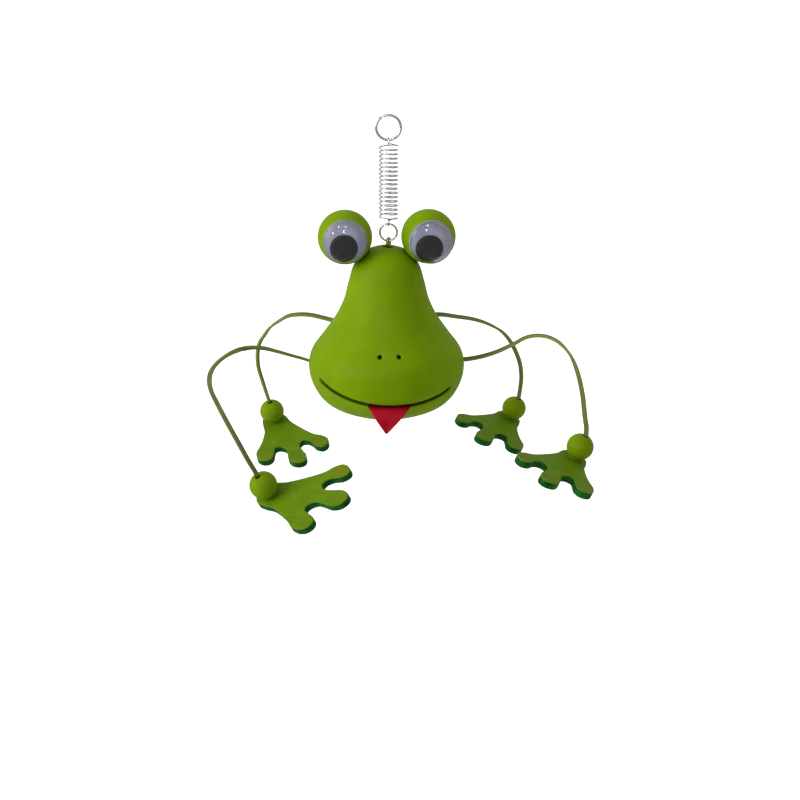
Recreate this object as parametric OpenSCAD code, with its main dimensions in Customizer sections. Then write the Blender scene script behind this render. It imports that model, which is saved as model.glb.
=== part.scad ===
// Wooden bouncing frog: a turned body with corded legs that hangs on a coil spring.
// Millimetres. The origin is where a hook bears inside the top ring, +Z is up,
// the face looks along -Y, and "left" is the -X side.

/* [Body] */
// Height of the turned wooden body
body_h = 80.1; // [78.1:0.5:82.1]
// Largest diameter of the turned wooden body
body_d = 71.1; // [70.1:0.2:72.1]
// Diameter of the two nostril holes
nostril_d = 2; // [1.5:0.1:2.5]
// Thickness of the saw cut that makes the mouth
mouth_cut = 2.2; // [2:0.1:3]
// Slope of the mouth cut, rising towards the back, in degrees
mouth_slope = 25; // [22:1:28]

/* [Eyes] */
// Diameter of the wooden eye balls
eye_ball_d = 24.3; // [24:0.1:24.8]
// Diameter of the stick-on moving eyes
eye_d = 19.6; // [19:0.1:19.8]
// Diameter of the loose black pupil disc
pupil_d = 12.4; // [11:0.1:12.5]

/* [Hanging gear] */
// Outer diameter of the top ring
top_ring_d = 12; // [12:0.5:14]
// Wire diameter of the top ring
top_ring_wire = 1.2; // [1:0.1:1.4]
// Outer diameter of the coil spring
spring_d = 8.5; // [8:0.1:9]
// Wire diameter of the coil spring
spring_wire = 0.55; // [0.5:0.05:0.6]
// Number of coils
spring_turns = 17; // [12:1:20]
// Rise of one coil with the frog hanging
spring_pitch = 1.9; // [1.5:0.1:2.2]
// Outer diameter of the small ring under the spring
small_ring_d = 8.5; // [8:0.1:9]
// Wire diameter of the small ring
small_ring_wire = 0.9; // [0.8:0.05:1]

/* [Legs and feet] */
// Diameter of the wooden bead on each foot
bead_d = 12; // [11:0.5:12.5]
// Thickness of the plywood feet
foot_t = 3.6; // [2.5:0.1:4]
// Thickness of the leg laces as plain round cords
lace_d = 1.6; // [1.4:0.1:1.8]
// Diameter of the lace holes in the body and the beads
lace_hole_d = 2.4; // [2.2:0.1:2.6]

/* [Hidden] */
$fn = 64;
fit_gap = 0.05;
clear_gap = 0.1;

// Hanging gear, worked out downwards from the point where the hook bears.
top_ring_r = (top_ring_d - top_ring_wire) / 2;
top_ring_z = -(top_ring_r - top_ring_wire / 2);
hook_r = 1.5;
top_hook_z = top_ring_z - top_ring_r + top_ring_wire / 2 + fit_gap + spring_wire / 2 - hook_r;
hook_drop = 1.9;
coil_r = (spring_d - spring_wire) / 2;
coil_top_z = top_hook_z - hook_drop;
coil_bottom_z = coil_top_z - spring_turns * spring_pitch;
low_hook_z = coil_bottom_z - hook_drop;
small_ring_r = (small_ring_d - small_ring_wire) / 2;
small_ring_z = low_hook_z - hook_r + spring_wire / 2 + fit_gap + small_ring_wire / 2 - small_ring_r;
eye_loop_wire = 1.2;
eye_loop_r = 1.9;
eye_loop_z = small_ring_z - small_ring_r + small_ring_wire / 2 + clear_gap - (eye_loop_r - eye_loop_wire / 2);
shank_d = 1.6;
shank_len = 10;

// Turned outline of the body: [radius, height above the widest level], bottom to top.
body_outline = [
    [0, -22.6], [10, -22.3], [19.9, -19.1], [28.3, -14.8], [33.3, -8.2], [35.55, 0], [34.2, 8],
    [28.6, 16], [23.1, 24], [19.3, 32], [17.2, 40], [14.7, 48], [10, 54], [0, 57.5]
];
body_rise = 57.5;
widest_r = 35.55;
body_under = 22.6;
outline_kr = body_d / (2 * widest_r);
outline_kz = body_h / (body_rise + body_under);
// The screw eye stands in a small hollow in the top of the body, a little to the right of its axis.
eye_sink = 1.9;
top_hollow_r = 4.5;
top_hollow_depth = 2.2;
eye_x = 0.9;
body_at = [-eye_x, 0, eye_loop_z - eye_loop_r - eye_loop_wire / 2 - body_rise + eye_sink];

// Face. Heights are above the widest level of the body.
nostril_x = 4.15;
nostril_y = -30;
nostril_up = 13.7;
nostril_tilt = 20;
mouth_front = [0, -32.6, -8.3];
mouth_depth = 13.7 / cos(mouth_slope);
mouth_roll = 2;
// The cut runs less deep on the right side than on the left, by this angle.
mouth_turn = 3.3;
tongue_w = 18.6;
tongue_t = 1;
tongue_tip = -18.9;
tongue_tip_x = -1;
// Middle line of the tongue from inside the mouth to its tip: [y, height].
tongue_line = [[-24, -4.9], [-28, -6.7], [-32, -8.6], [-33.7, -9.6], [-35.2, -11.3], [-36.2, -13.5],
    [-36.8, -16.5], [-37.1, -19.1]];

// Eyes
ball_at = [18.6, -2.5, 61.3];
// How far the left and the right eye look down and to the right, in degrees.
eye_look_left = [2.5, 0.5];
eye_look_right = [6, 5];
ball_flat = sqrt(pow(eye_ball_d, 2) - pow(eye_d, 2)) / 2;
back_t = 0.8;
dome_wall = 0.5;
dome_side = 1.6;
dome_rise = 3;
pupil_t = 0.9;
pupil_lift = 0.2;
pupil_play = 0.1;
pupil_orbit = eye_d / 2 - dome_wall - pupil_play - pupil_d / 2;
dowel_d = 4;
dowel_from = 6;
dowel_len = 13;
dowel_dir = [45, 172];

// Feet: [bead centre above the widest level, lean, lean direction, toe direction].
// The lean is the tilt of the foot away from level, and both directions are turns about +Z.
front_left_stance = [[-55, -60, -33], 32, 221, 330.5];
front_right_stance = [[84.7, -35, -27.6], 24, 346, 241];
back_left_stance = [[-55.5, 57.8, -42], 19.5, 240, 290.5];
back_right_stance = [[67.6, 57.7, -42.2], 24, 340, 241];
bead_flat = 0.3;
bead_seat = bead_d / 2 - bead_flat;
foot_hole = 2;
// Outline of a left foot: +X to the middle toe, +Y to the inner toe, heel disc at the origin.
foot_outline = [
    [0, -6.3], [-4.5, -4.5], [-6.3, 0], [-4.5, 4.5], [0, 6.3],
    [6, 6.9], [14, 9.4], [22, 12.7], [26, 15.9], [30, 17.5], [33.6, 16], [34.7, 12.9],
    [32, 10.3], [28, 9.6], [25.1, 8], [24.4, 5.7], [26.6, 3.6], [31, 3.4], [35.5, 3.6],
    [39, 2], [39.7, -1], [37.2, -4.2], [33.2, -5], [29, -3.9], [25.5, -3.3], [22.4, -4.9],
    [21.6, -7.4], [24.2, -9.2], [27.6, -11.2], [28.6, -14.2], [26.6, -17.1], [23, -18],
    [19, -16.7], [15.8, -13.8], [11.5, -10.6], [5.5, -7.4]
];

// Lace holes in the body: a point on the surface and the way out of the hole.
side_hole = [35.5, 2, 2.2];
side_hole_dir = 0;
back_hole = [18.6, 22.2, 15.5];
back_hole_dir = 50;
lace_hole_depth = 8;

// Routes of the laces from the body hole to the bead, heights above the widest level.
front_left_route = [
    [-34.9, 2, 2.2], [-38, 1.6, 3.5], [-44, -0.5, 6], [-50, -4, 9], [-56, -8.5, 12], [-62, -13.5, 13.8],
    [-68, -20, 14.2], [-73.5, -27, 12.8], [-77, -33, 10.3], [-78, -38, 7.2], [-77, -43, 4],
    [-74.5, -48, 0.5], [-70, -55.5, -5.5], [-65, -61, -13], [-61, -63.5, -20], [-58.3, -63, -25.3],
    [-57.4, -62, -27.9]
];
front_right_route = [
    [34.9, 2, 2.1], [38, 1.6, 2.4], [44, 0.5, 3.9], [50.5, -2, 6.8], [57.5, -6, 11.6], [62.5, -9.3, 15.6],
    [67.5, -12.8, 17.6], [72.5, -16.3, 17.6], [77, -20, 15.5], [81, -24, 11], [83.5, -28.5, 4.5],
    [85.2, -32.5, -4], [86.2, -34.8, -13], [87, -35.6, -18.3], [87, -35.6, -22.3]
];
back_left_route = [
    [-18.5, 22, 15.5], [-20.6, 24.4, 15.2], [-24, 27.2, 14.4], [-28.5, 29.8, 14.8], [-34.5, 32.6, 15.5],
    [-40, 35, 15.2], [-45.5, 38, 13.7], [-50, 40, 10.7], [-54.5, 42.5, 6.8], [-57.5, 44.5, 2.4],
    [-60.2, 46, -2.3], [-61.4, 48, -8.5], [-61.3, 50.3, -16], [-59.4, 53, -25], [-56.6, 56.2, -36.5]
];
back_right_route = [
    [18.5, 22, 15.5], [20.7, 24.5, 15.9], [24.7, 27.2, 16.5], [29, 29.2, 15.8], [34, 31.3, 14.4],
    [43.2, 36.3, 11.5], [50.5, 40.7, 8], [57.5, 44.7, 3.3], [62, 47.5, -1.6], [66, 50.3, -8.4],
    [69.2, 53, -16.6], [70.5, 55.2, -24.7], [70.3, 56.4, -31], [69.7, 56.9, -36.8]
];

// Colours
leaf = "YellowGreen";
foot_leaf = "OliveDrab";
cord_olive = "DarkKhaki";
steel = "Silver";
brass = "Goldenrod";

// ---- Shared shapes ----

function unit(v) = v / norm(v);

// A point on the smooth curve that runs from b to c, with a and d as its neighbours.
function on_curve(a, b, c, d, t) =
    0.5 * (2 * b + (c - a) * t + (2 * a - 5 * b + 4 * c - d) * t * t + (3 * b - a - 3 * c + d) * t * t * t);

// A smooth curve through points; the first and last ones only steer its ends.
function open_curve(p, steps) = concat(
    [for (i = [1 : len(p) - 3]) for (k = [0 : steps - 1])
        on_curve(p[i - 1], p[i], p[i + 1], p[i + 2], k / steps)],
    [p[len(p) - 2]]);

// A smooth closed curve through all the points.
function closed_curve(p, steps) = let (n = len(p))
    [for (i = [0 : n - 1]) for (k = [0 : steps - 1])
        on_curve(p[(i + n - 1) % n], p[i], p[(i + 1) % n], p[(i + 2) % n], k / steps)];

function heading(route, i) = unit(route[min(i + 1, len(route) - 1)] - route[max(i - 1, 0)]);

function square_to(v, along) = unit(v - (v * along) * along);

// A round cord swept along its route; the first side vector is carried along without twist.
module swept_cord(route, d, sides, first_side) {
    n = len(route);
    side = [for (i = 0, s = square_to(first_side, heading(route, 0)); i < n;
        i = i + 1, s = i < n ? square_to(s, heading(route, i)) : s) s];
    rings = [for (i = [0 : n - 1]) for (k = [0 : sides - 1])
        let (turn = 360 * k / sides, across = cross(heading(route, i), side[i]))
        route[i] + d / 2 * (cos(turn) * side[i] + sin(turn) * across)];
    walls = [for (i = [0 : n - 2]) for (k = [0 : sides - 1])
        [i * sides + k, (i + 1) * sides + k, (i + 1) * sides + (k + 1) % sides, i * sides + (k + 1) % sides]];
    start_cap = [[for (k = [0 : sides - 1]) k]];
    end_cap = [[for (k = [sides - 1 : -1 : 0]) (n - 1) * sides + k]];
    polyhedron(rings, concat(walls, start_cap, end_cap));
}

// A closed wire ring about Z.
module wire_ring(r, wire) {
    rotate_extrude() translate([r, 0]) circle(d = wire);
}

// ---- Hanging gear ----

module hanging_ring() {
    color(steel) translate([0, 0, top_ring_z]) rotate([90, 0, 0]) wire_ring(top_ring_r, top_ring_wire);
}

// The hook at a coil's end, for an end that starts at +X and runs towards +Y and down.
function hook_route(z) = [
    [3.1, 1.4, z + 1.5], [1.3, 2, z + 0.9], [0, hook_r, z],
    for (turn = [45 : 45 : 225]) [0, hook_r * cos(turn), z - hook_r * sin(turn)],
    [0, -0.3, z + hook_r - 0.05]
];

function flip(p) = [for (i = [len(p) - 1 : -1 : 0]) [p[i][0], -p[i][1], -p[i][2]]];

module bounce_spring() {
    steps = 16;
    middle = (coil_top_z + coil_bottom_z) / 2;
    half = (coil_top_z - coil_bottom_z) / 2;
    coil = [for (i = [0 : spring_turns * steps])
        [coil_r * cos(360 * i / steps), coil_r * sin(360 * i / steps), half - spring_pitch * i / steps]];
    low_end = hook_route(low_hook_z - middle);
    coil_last = coil[len(coil) - 1];
    steer = [coil_last + [0, -2, 0.3], coil_last];
    low_hook = open_curve(concat(steer, low_end, [low_end[len(low_end) - 1]]), 3);
    low_part = [for (i = [1 : len(low_hook) - 1]) low_hook[i]];
    route = concat(flip(low_part), coil, low_part);
    color(steel) translate([0, 0, middle]) swept_cord(route, spring_wire, 6, [0, 0, 1]);
}

module lower_ring() {
    color(steel) translate([0, 0, small_ring_z]) rotate([90, 0, 0]) wire_ring(small_ring_r, small_ring_wire);
}

module screw_eye() {
    color(brass) translate([0, 0, eye_loop_z]) {
        rotate([0, 90, 0]) wire_ring(eye_loop_r, eye_loop_wire);
        translate([0, 0, -eye_loop_r - shank_len]) cylinder(d = shank_d, h = shank_len);
    }
}

// ---- Body and face ----

module turned_body() {
    outline = [for (p = body_outline) [p[0] * outline_kr, body_rise + (p[1] - body_rise) * outline_kz]];
    last = len(outline) - 1;
    below = [-outline[1][0], outline[1][1]];
    above = [-outline[last - 1][0], outline[last - 1][1]];
    rotate_extrude() polygon(open_curve(concat([below], outline, [above]), 5));
}

module at_mouth() {
    translate(mouth_front) rotate([0, mouth_roll, 0]) rotate([mouth_slope, 0, 0]) children();
}

module mouth_slot() {
    reach = body_d;
    at_mouth() rotate([0, 0, -mouth_turn]) translate([-reach / 2, mouth_depth - reach, -mouth_cut / 2])
        cube([reach, reach, mouth_cut]);
}

module at_nostril(side) {
    translate([side * nostril_x, nostril_y, nostril_up]) rotate([90 - nostril_tilt, 0, 0]) children();
}

module at_ball(side) {
    translate([side * ball_at[0], ball_at[1], ball_at[2]]) children();
}

// The frame of one eye ball, turned the way the eye looks, with its face along -Y.
module at_eye(side) {
    look = side > 0 ? eye_look_right : eye_look_left;
    at_ball(side) rotate([look[0], 0, look[1]]) children();
}

module at_dowel(side) {
    at_ball(side) rotate([0, 0, side > 0 ? dowel_dir[1] : 180 - dowel_dir[1]])
        rotate([0, 90 + dowel_dir[0], 0]) translate([0, 0, dowel_from]) children();
}

module lace_hole(hole, turn) {
    translate(hole) rotate([0, 0, turn]) rotate([0, 90, 0])
        translate([0, 0, -lace_hole_depth]) cylinder(d = lace_hole_d, h = lace_hole_depth + 6);
}

module body() {
    color(leaf) translate(body_at) difference() {
        turned_body();
        mouth_slot();
        for (side = [-1, 1]) {
            at_nostril(side) translate([0, 0, -3]) cylinder(d = nostril_d, h = 6);
            at_ball(side) sphere(d = eye_ball_d + 2 * fit_gap);
            at_dowel(side) cylinder(d = dowel_d + fit_gap, h = dowel_len + 1);
        }
        lace_hole(side_hole, side_hole_dir);
        mirror([1, 0, 0]) lace_hole(side_hole, side_hole_dir);
        lace_hole(back_hole, back_hole_dir);
        mirror([1, 0, 0]) lace_hole(back_hole, back_hole_dir);
        translate([eye_x, 0, body_rise - top_hollow_depth + top_hollow_r]) sphere(r = top_hollow_r);
        translate([eye_x, 0, body_rise - eye_sink - shank_len]) cylinder(d = shank_d + fit_gap, h = shank_len + 2);
    }
}

module tongue() {
    n = len(tongue_line);
    along = [for (i = [0 : n - 1]) heading(tongue_line, i)];
    upper = [for (i = [0 : n - 1]) tongue_line[i] + tongue_t / 2 * [along[i][1], -along[i][0]]];
    lower = [for (i = [n - 1 : -1 : 0]) tongue_line[i] - tongue_t / 2 * [along[i][1], -along[i][0]]];
    root = tongue_line[2][1];
    color("Crimson") translate(body_at) rotate([0, mouth_roll, 0]) intersection() {
        rotate([90, 0, 90]) translate([0, 0, -tongue_w / 2]) linear_extrude(tongue_w)
            polygon(concat(upper, lower));
        rotate([90, 0, 0]) linear_extrude(body_d)
            polygon([[-tongue_w / 2, 0], [-tongue_w / 2, root], [tongue_tip_x - 0.6, tongue_tip],
                [tongue_tip_x + 0.6, tongue_tip], [tongue_w / 2, root], [tongue_w / 2, 0]]);
    }
}

// ---- Eyes ----

module eye_ball(side) {
    color(leaf) translate(body_at) difference() {
        at_eye(side) rotate([90, 0, 0]) sphere(d = eye_ball_d);
        at_eye(side) translate([-eye_ball_d / 2, -eye_ball_d - ball_flat, -eye_ball_d / 2]) cube(eye_ball_d);
        at_dowel(side) cylinder(d = dowel_d + fit_gap, h = dowel_len);
    }
}

module eye_dowel(side) {
    color("BurlyWood") translate(body_at) at_dowel(side) cylinder(d = dowel_d, h = dowel_len);
}

// The frame of one moving eye: its back is at the origin and +Z looks forwards.
module on_eye(side) {
    translate(body_at) at_eye(side) translate([0, -ball_flat, 0]) rotate([90, 0, 0]) children();
}

module domed(r, straight, rise) {
    ball_r = (r * r + rise * rise) / (2 * rise);
    cylinder(r = r, h = straight);
    intersection() {
        translate([0, 0, straight + rise - ball_r]) sphere(r = ball_r);
        cylinder(r = r, h = straight + rise + 1);
    }
}

module eye_back(side) {
    color("Lavender") on_eye(side) cylinder(d = eye_d, h = back_t);
}

module eye_dome(side) {
    color("AliceBlue", 0.3) on_eye(side) translate([0, 0, back_t]) difference() {
        domed(eye_d / 2, dome_side, dome_rise);
        domed(eye_d / 2 - dome_wall, dome_side, dome_rise - dome_wall);
    }
}

module pupil(side) {
    color("Black") on_eye(side) translate([0, -pupil_orbit, back_t + pupil_lift]) cylinder(d = pupil_d, h = pupil_t);
}

// ---- Legs and feet ----

module lace(route) {
    middle = route[floor(len(route) / 2)];
    bend_axis = cross(middle - route[0], route[len(route) - 1] - route[0]);
    color(cord_olive) translate(body_at) swept_cord(route, lace_d, 8, bend_axis);
}

// The frame of one foot: its top face at the heel is the origin, +X runs to the middle toe.
module at_foot(stance) {
    translate(stance[0] + body_at) rotate([0, 0, stance[2]]) rotate([0, stance[1], 0])
        rotate([0, 0, stance[3] - stance[2]]) translate([0, 0, -bead_seat]) children();
}

module bead(stance) {
    color(leaf) at_foot(stance) difference() {
        translate([0, 0, bead_seat]) sphere(d = bead_d);
        translate([-bead_d / 2, -bead_d / 2, -bead_d]) cube(bead_d);
        translate([0, 0, -1]) cylinder(d = lace_hole_d, h = bead_d + 2);
    }
}

module foot(stance, handed) {
    color(foot_leaf) at_foot(stance) difference() {
        translate([0, 0, -foot_t]) linear_extrude(foot_t) scale_y(handed) polygon(closed_curve(foot_outline, 3));
        translate([0, 0, -foot_hole]) cylinder(d = lace_hole_d, h = foot_hole + 1);
    }
}

module scale_y(handed) {
    if (handed < 0) mirror([0, 1]) children();
    else children();
}

hanging_ring();
bounce_spring();
lower_ring();
screw_eye();
body();
tongue();
eye_ball(-1);  // eye_ball_left
eye_ball(1);  // eye_ball_right
eye_dowel(-1);  // eye_dowel_left
eye_dowel(1);  // eye_dowel_right
eye_back(-1);  // eye_back_left
eye_back(1);  // eye_back_right
eye_dome(-1);  // eye_dome_left
eye_dome(1);  // eye_dome_right
pupil(-1);  // pupil_left
pupil(1);  // pupil_right
lace(front_left_route);  // front_left_lace
lace(front_right_route);  // front_right_lace
lace(back_left_route);  // back_left_lace
lace(back_right_route);  // back_right_lace
bead(front_left_stance);  // front_left_bead
bead(front_right_stance);  // front_right_bead
bead(back_left_stance);  // back_left_bead
bead(back_right_stance);  // back_right_bead
foot(front_left_stance, 1);  // front_left_foot
foot(front_right_stance, -1);  // front_right_foot
foot(back_left_stance, 1);  // back_left_foot
foot(back_right_stance, -1);  // back_right_foot
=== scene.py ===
import math

import bpy
import numpy as np
from mathutils import Matrix, Vector
from mathutils.geometry import delaunay_2d_cdt


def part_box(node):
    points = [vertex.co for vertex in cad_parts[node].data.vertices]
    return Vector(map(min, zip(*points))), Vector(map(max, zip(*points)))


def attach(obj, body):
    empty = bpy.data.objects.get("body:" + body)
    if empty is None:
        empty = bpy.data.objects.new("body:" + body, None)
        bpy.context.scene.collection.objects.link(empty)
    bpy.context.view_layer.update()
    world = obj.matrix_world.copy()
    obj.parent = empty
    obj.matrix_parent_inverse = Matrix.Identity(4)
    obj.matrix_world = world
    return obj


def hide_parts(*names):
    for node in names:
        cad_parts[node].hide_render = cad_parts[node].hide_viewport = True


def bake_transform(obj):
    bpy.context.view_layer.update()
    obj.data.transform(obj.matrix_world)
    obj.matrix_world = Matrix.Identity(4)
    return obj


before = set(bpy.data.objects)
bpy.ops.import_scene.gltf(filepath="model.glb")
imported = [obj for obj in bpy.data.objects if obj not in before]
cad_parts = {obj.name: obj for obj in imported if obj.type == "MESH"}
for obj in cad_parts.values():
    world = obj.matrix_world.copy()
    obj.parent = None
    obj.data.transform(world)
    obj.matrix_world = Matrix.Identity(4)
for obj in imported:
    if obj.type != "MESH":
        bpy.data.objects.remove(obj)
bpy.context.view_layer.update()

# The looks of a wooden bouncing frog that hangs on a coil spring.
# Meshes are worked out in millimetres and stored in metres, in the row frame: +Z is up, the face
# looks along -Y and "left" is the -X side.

MM = 0.001


def node_box(node):
    """The lowest and highest corner of a CAD node, in millimetres."""
    low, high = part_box(node)
    return np.array(low) / MM, np.array(high) / MM


# ---- Sizes in millimetres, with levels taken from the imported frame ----

BODY_LOW, BODY_HIGH = node_box("body")
BODY_UNDER = 22.6
WIDEST = BODY_LOW[2] + BODY_UNDER
BODY_CENTRE = np.array([(BODY_LOW[0] + BODY_HIGH[0]) / 2, 0, WIDEST])
# Turned outline of the body: [radius, height above the widest level], bottom to top.
BODY_OUTLINE = [
    [0, -22.6], [10, -22.3], [19.9, -19.1], [28.3, -14.8], [33.3, -8.2], [35.55, 0], [34.2, 8],
    [28.6, 16], [23.1, 24], [19.3, 32], [17.2, 40], [14.7, 48], [10, 54], [0, 57.5],
]
BODY_RISE = 57.5
# Hollow in the top of the body round the screw eye, which stands a little right of the body's axis.
TOP_HOLLOW_R = 4.5
TOP_HOLLOW_DEPTH = 2.2
SCREW_EYE_X = 0.9
MOUTH_FRONT = np.array([0, -32.6, -8.3])
MOUTH_CUT = 2.2
MOUTH_SLOPE = math.radians(25)
MOUTH_ROLL = math.radians(2)
MOUTH_DEPTH = 13.7 / math.cos(MOUTH_SLOPE)
MOUTH_TURN = math.radians(3.3)
NOSTRIL = np.array([4.15, -30, 13.7])
NOSTRIL_D = 2
NOSTRIL_TILT = math.radians(20)
LACE_HOLE_D = 2.4
SIDE_HOLE = np.array([35.5, 2, 2.2])
BACK_HOLE = np.array([18.6, 22.2, 15.5])
BACK_HOLE_TURN = math.radians(50)
BALL_D = 24.3
BALL_AT = np.array([18.6, -2.5, 61.3])
EYE_D = 19.6
# The flat that each eye is stuck on, as its distance from the middle of the ball.
EYE_FLAT = math.sqrt(BALL_D**2 - EYE_D**2) / 2
PUPIL_D = 12.4
# How far each eye looks down and to the right, in degrees.
EYE_LOOK = {"left": (2.5, 0.5), "right": (6, 5)}
BACK_T = 0.8
PUPIL_LIFT = 0.2
PUPIL_T = 0.9
PUPIL_ORBIT = EYE_D / 2 - 0.5 - 0.1 - PUPIL_D / 2
# How far each loose pupil has rolled from the bottom of its eye towards the frog's left side.
PUPIL_TURN = {"left": math.radians(13), "right": math.radians(17)}

TONGUE_W = 18.6
TONGUE_T = 1
TONGUE_ROOT = -8.6
TONGUE_TIP = -18.9
TONGUE_TIP_X = -1
# Middle line of the tongue from inside the mouth to its tip: [y, height above the widest level].
TONGUE_LINE = [
    [-24, -4.9], [-28, -6.7], [-32, -8.6], [-33.7, -9.6], [-35.2, -11.3], [-36.2, -13.5],
    [-36.8, -16.5], [-37.1, -19.1],
]

BEAD_D = 12
BEAD_SEAT = 5.7
FOOT_T = 3.6
# Outline of a left foot: +X to the middle toe, +Y to the inner toe, heel disc at the origin.
FOOT_OUTLINE = [
    [0, -6.3], [-4.5, -4.5], [-6.3, 0], [-4.5, 4.5], [0, 6.3],
    [6, 6.9], [14, 9.4], [22, 12.7], [26, 15.9], [30, 17.5], [33.6, 16], [34.7, 12.9],
    [32, 10.3], [28, 9.6], [25.1, 8], [24.4, 5.7], [26.6, 3.6], [31, 3.4], [35.5, 3.6],
    [39, 2], [39.7, -1], [37.2, -4.2], [33.2, -5], [29, -3.9], [25.5, -3.3], [22.4, -4.9],
    [21.6, -7.4], [24.2, -9.2], [27.6, -11.2], [28.6, -14.2], [26.6, -17.1], [23, -18],
    [19, -16.7], [15.8, -13.8], [11.5, -10.6], [5.5, -7.4],
]
TOE_TIPS = [[30.3, 13.6], [35.4, -0.7], [24.3, -13.6]]

# One leg: its lace's route from the body hole to the bead (heights above the widest level), the way
# its flat side's width runs at a few of those points, and its foot's bead centre, lean, direction
# of lean, direction of the middle toe and hand.
LEGS = {
    "front_left": {
        "route": [
            [-34.9, 2, 2.2], [-38, 1.6, 3.5], [-44, -0.5, 6], [-50, -4, 9], [-56, -8.5, 12],
            [-62, -13.5, 13.8], [-68, -20, 14.2], [-73.5, -27, 12.8], [-77, -33, 10.3],
            [-78, -38, 7.2], [-77, -43, 4], [-74.5, -48, 0.5], [-70, -55.5, -5.5],
            [-65, -61, -13], [-61, -63.5, -20], [-58.3, -63, -25.3], [-57.4, -62, -27.9],
        ],
        "width_ways": {0: [0.1, 0.9, -0.4], 4: [0.45, 0.75, -0.5], 8: [0.75, 0.3, 0.55],
                       10: [0.85, 0.3, 0.4], 16: [0.9, 0.35, -0.25]},
        "bend_end": [-46, -1.3, 7],
        "stance": [[-55, -60, -33], 32, 221, 330.5],
        "hand": 1,
    },
    "front_right": {
        "route": [
            [34.9, 2, 2.1], [38, 1.6, 2.4], [44, 0.5, 3.9], [50.5, -2, 6.8], [57.5, -6, 11.6],
            [62.5, -9.3, 15.6], [67.5, -12.8, 17.6], [72.5, -16.3, 17.6], [77, -20, 15.5],
            [81, -24, 11], [83.5, -28.5, 4.5], [85.2, -32.5, -4], [86.2, -34.8, -13],
            [87, -35.6, -18.3], [87, -35.6, -22.3],
        ],
        "width_ways": {0: [0, 0.8, 0.6], 4: [0.2, 0.9, 0.2], 7: [0.3, 0.95, 0],
                       11: [-0.6, 0.8, 0.1], 14: [-0.75, 0.65, 0]},
        "bend_end": [46, 0, 4.7],
        "stance": [[84.7, -35, -27.6], 24, 346, 241],
        "hand": -1,
    },
    "back_left": {
        "route": [
            [-18.5, 22, 15.5], [-20.6, 24.4, 15.2], [-24, 27.2, 14.4], [-28.5, 29.8, 14.8],
            [-34.5, 32.6, 15.5], [-40, 35, 15.2], [-45.5, 38, 13.7], [-50, 40, 10.7],
            [-54.5, 42.5, 6.8], [-57.5, 44.5, 2.4], [-60.2, 46, -2.3], [-61.4, 48, -8.5],
            [-61.3, 50.3, -16], [-59.4, 53, -25], [-56.6, 56.2, -36.5],
        ],
        "width_ways": {0: [-0.1, 0.5, 0.7], 5: [0.3, 0.8, 0.5], 10: [0.7, 0.7, 0.1],
                       14: [0.15, 1, 0.2]},
        "bend_end": [-27, 29, 14.6],
        "stance": [[-55.5, 57.8, -42], 19.5, 240, 290.5],
        "hand": 1,
    },
    "back_right": {
        "route": [
            [18.5, 22, 15.5], [20.7, 24.5, 15.9], [24.7, 27.2, 16.5], [29, 29.2, 15.8],
            [34, 31.3, 14.4], [43.2, 36.3, 11.5], [50.5, 40.7, 8], [57.5, 44.7, 3.3],
            [62, 47.5, -1.6], [66, 50.3, -8.4], [69.2, 53, -16.6], [70.5, 55.2, -24.7],
            [70.3, 56.4, -31], [69.7, 56.9, -36.8],
        ],
        "width_ways": {0: [0, 0.4, 0.8], 5: [-0.3, 0.9, 0.3], 9: [-0.8, 0.6, 0],
                       13: [-0.5, 0.85, 0]},
        "bend_end": [27, 28.3, 16.7],
        "stance": [[67.6, 57.7, -42.2], 24, 340, 241],
        "hand": -1,
    },
}
LACE_W = 2.0
LACE_T = 1.3

# ---- Camera, light and floor ----

CAMERA_AWAY = 0.65
CAMERA_TURN = math.radians(2.5)
CAMERA_ABOVE = math.radians(18)
LENS = 63.6
SENSOR = 36


def add_node(tree, kind, **inputs):
    """A new shader node with inputs linked or set. In their names, _ stands for a space."""
    node = tree.nodes.new("ShaderNode" + kind)
    for key, value in inputs.items():
        set_input(tree, node.inputs[key.replace("_", " ")], value)
    return node


def set_input(tree, socket, value):
    """Links a node's output to an input, or sets the input to a plain value."""
    if isinstance(value, bpy.types.NodeSocket):
        tree.links.new(value, socket)
    else:
        socket.default_value = value


def new_material(name):
    """A material, its node tree and its Principled shader."""
    material = bpy.data.materials.new(name)
    material.use_nodes = True
    return material, material.node_tree, material.node_tree.nodes["Principled BSDF"]


def in_scene(name, data):
    """An object made from data and linked to the scene."""
    item = bpy.data.objects.new(name, data)
    bpy.context.scene.collection.objects.link(item)
    return item


def look_at_frog(item, place, aim):
    """Puts a camera or light at place and turns it to look along aim."""
    item.location = place
    item.rotation_mode = "QUATERNION"
    item.rotation_quaternion = aim.to_track_quat("-Z", "Y")


def make_camera():
    """A camera in front of the frog, a little above it and to its left."""
    data = bpy.data.cameras.new("camera")
    data.lens = LENS
    data.sensor_width = SENSOR
    data.shift_x = 0.0169
    data.shift_y = -0.0425
    data.clip_start = 0.01
    data.clip_end = 100
    camera = in_scene("camera", data)
    level = math.cos(CAMERA_ABOVE)
    back = Vector((
        -math.sin(CAMERA_TURN) * level,
        -math.cos(CAMERA_TURN) * level,
        math.sin(CAMERA_ABOVE),
    ))
    look_at_frog(camera, Vector(BODY_CENTRE * MM) + CAMERA_AWAY * back, -back)
    bpy.context.scene.camera = camera


def make_light(name, place, size, power, colour=(1, 1, 1)):
    """A soft square light that looks at the frog."""
    data = bpy.data.lights.new(name, "AREA")
    data.size = size
    data.energy = power
    data.color = colour
    light = in_scene(name, data)
    look_at_frog(light, place, Vector(BODY_CENTRE * MM) - Vector(place))
    return light


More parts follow.
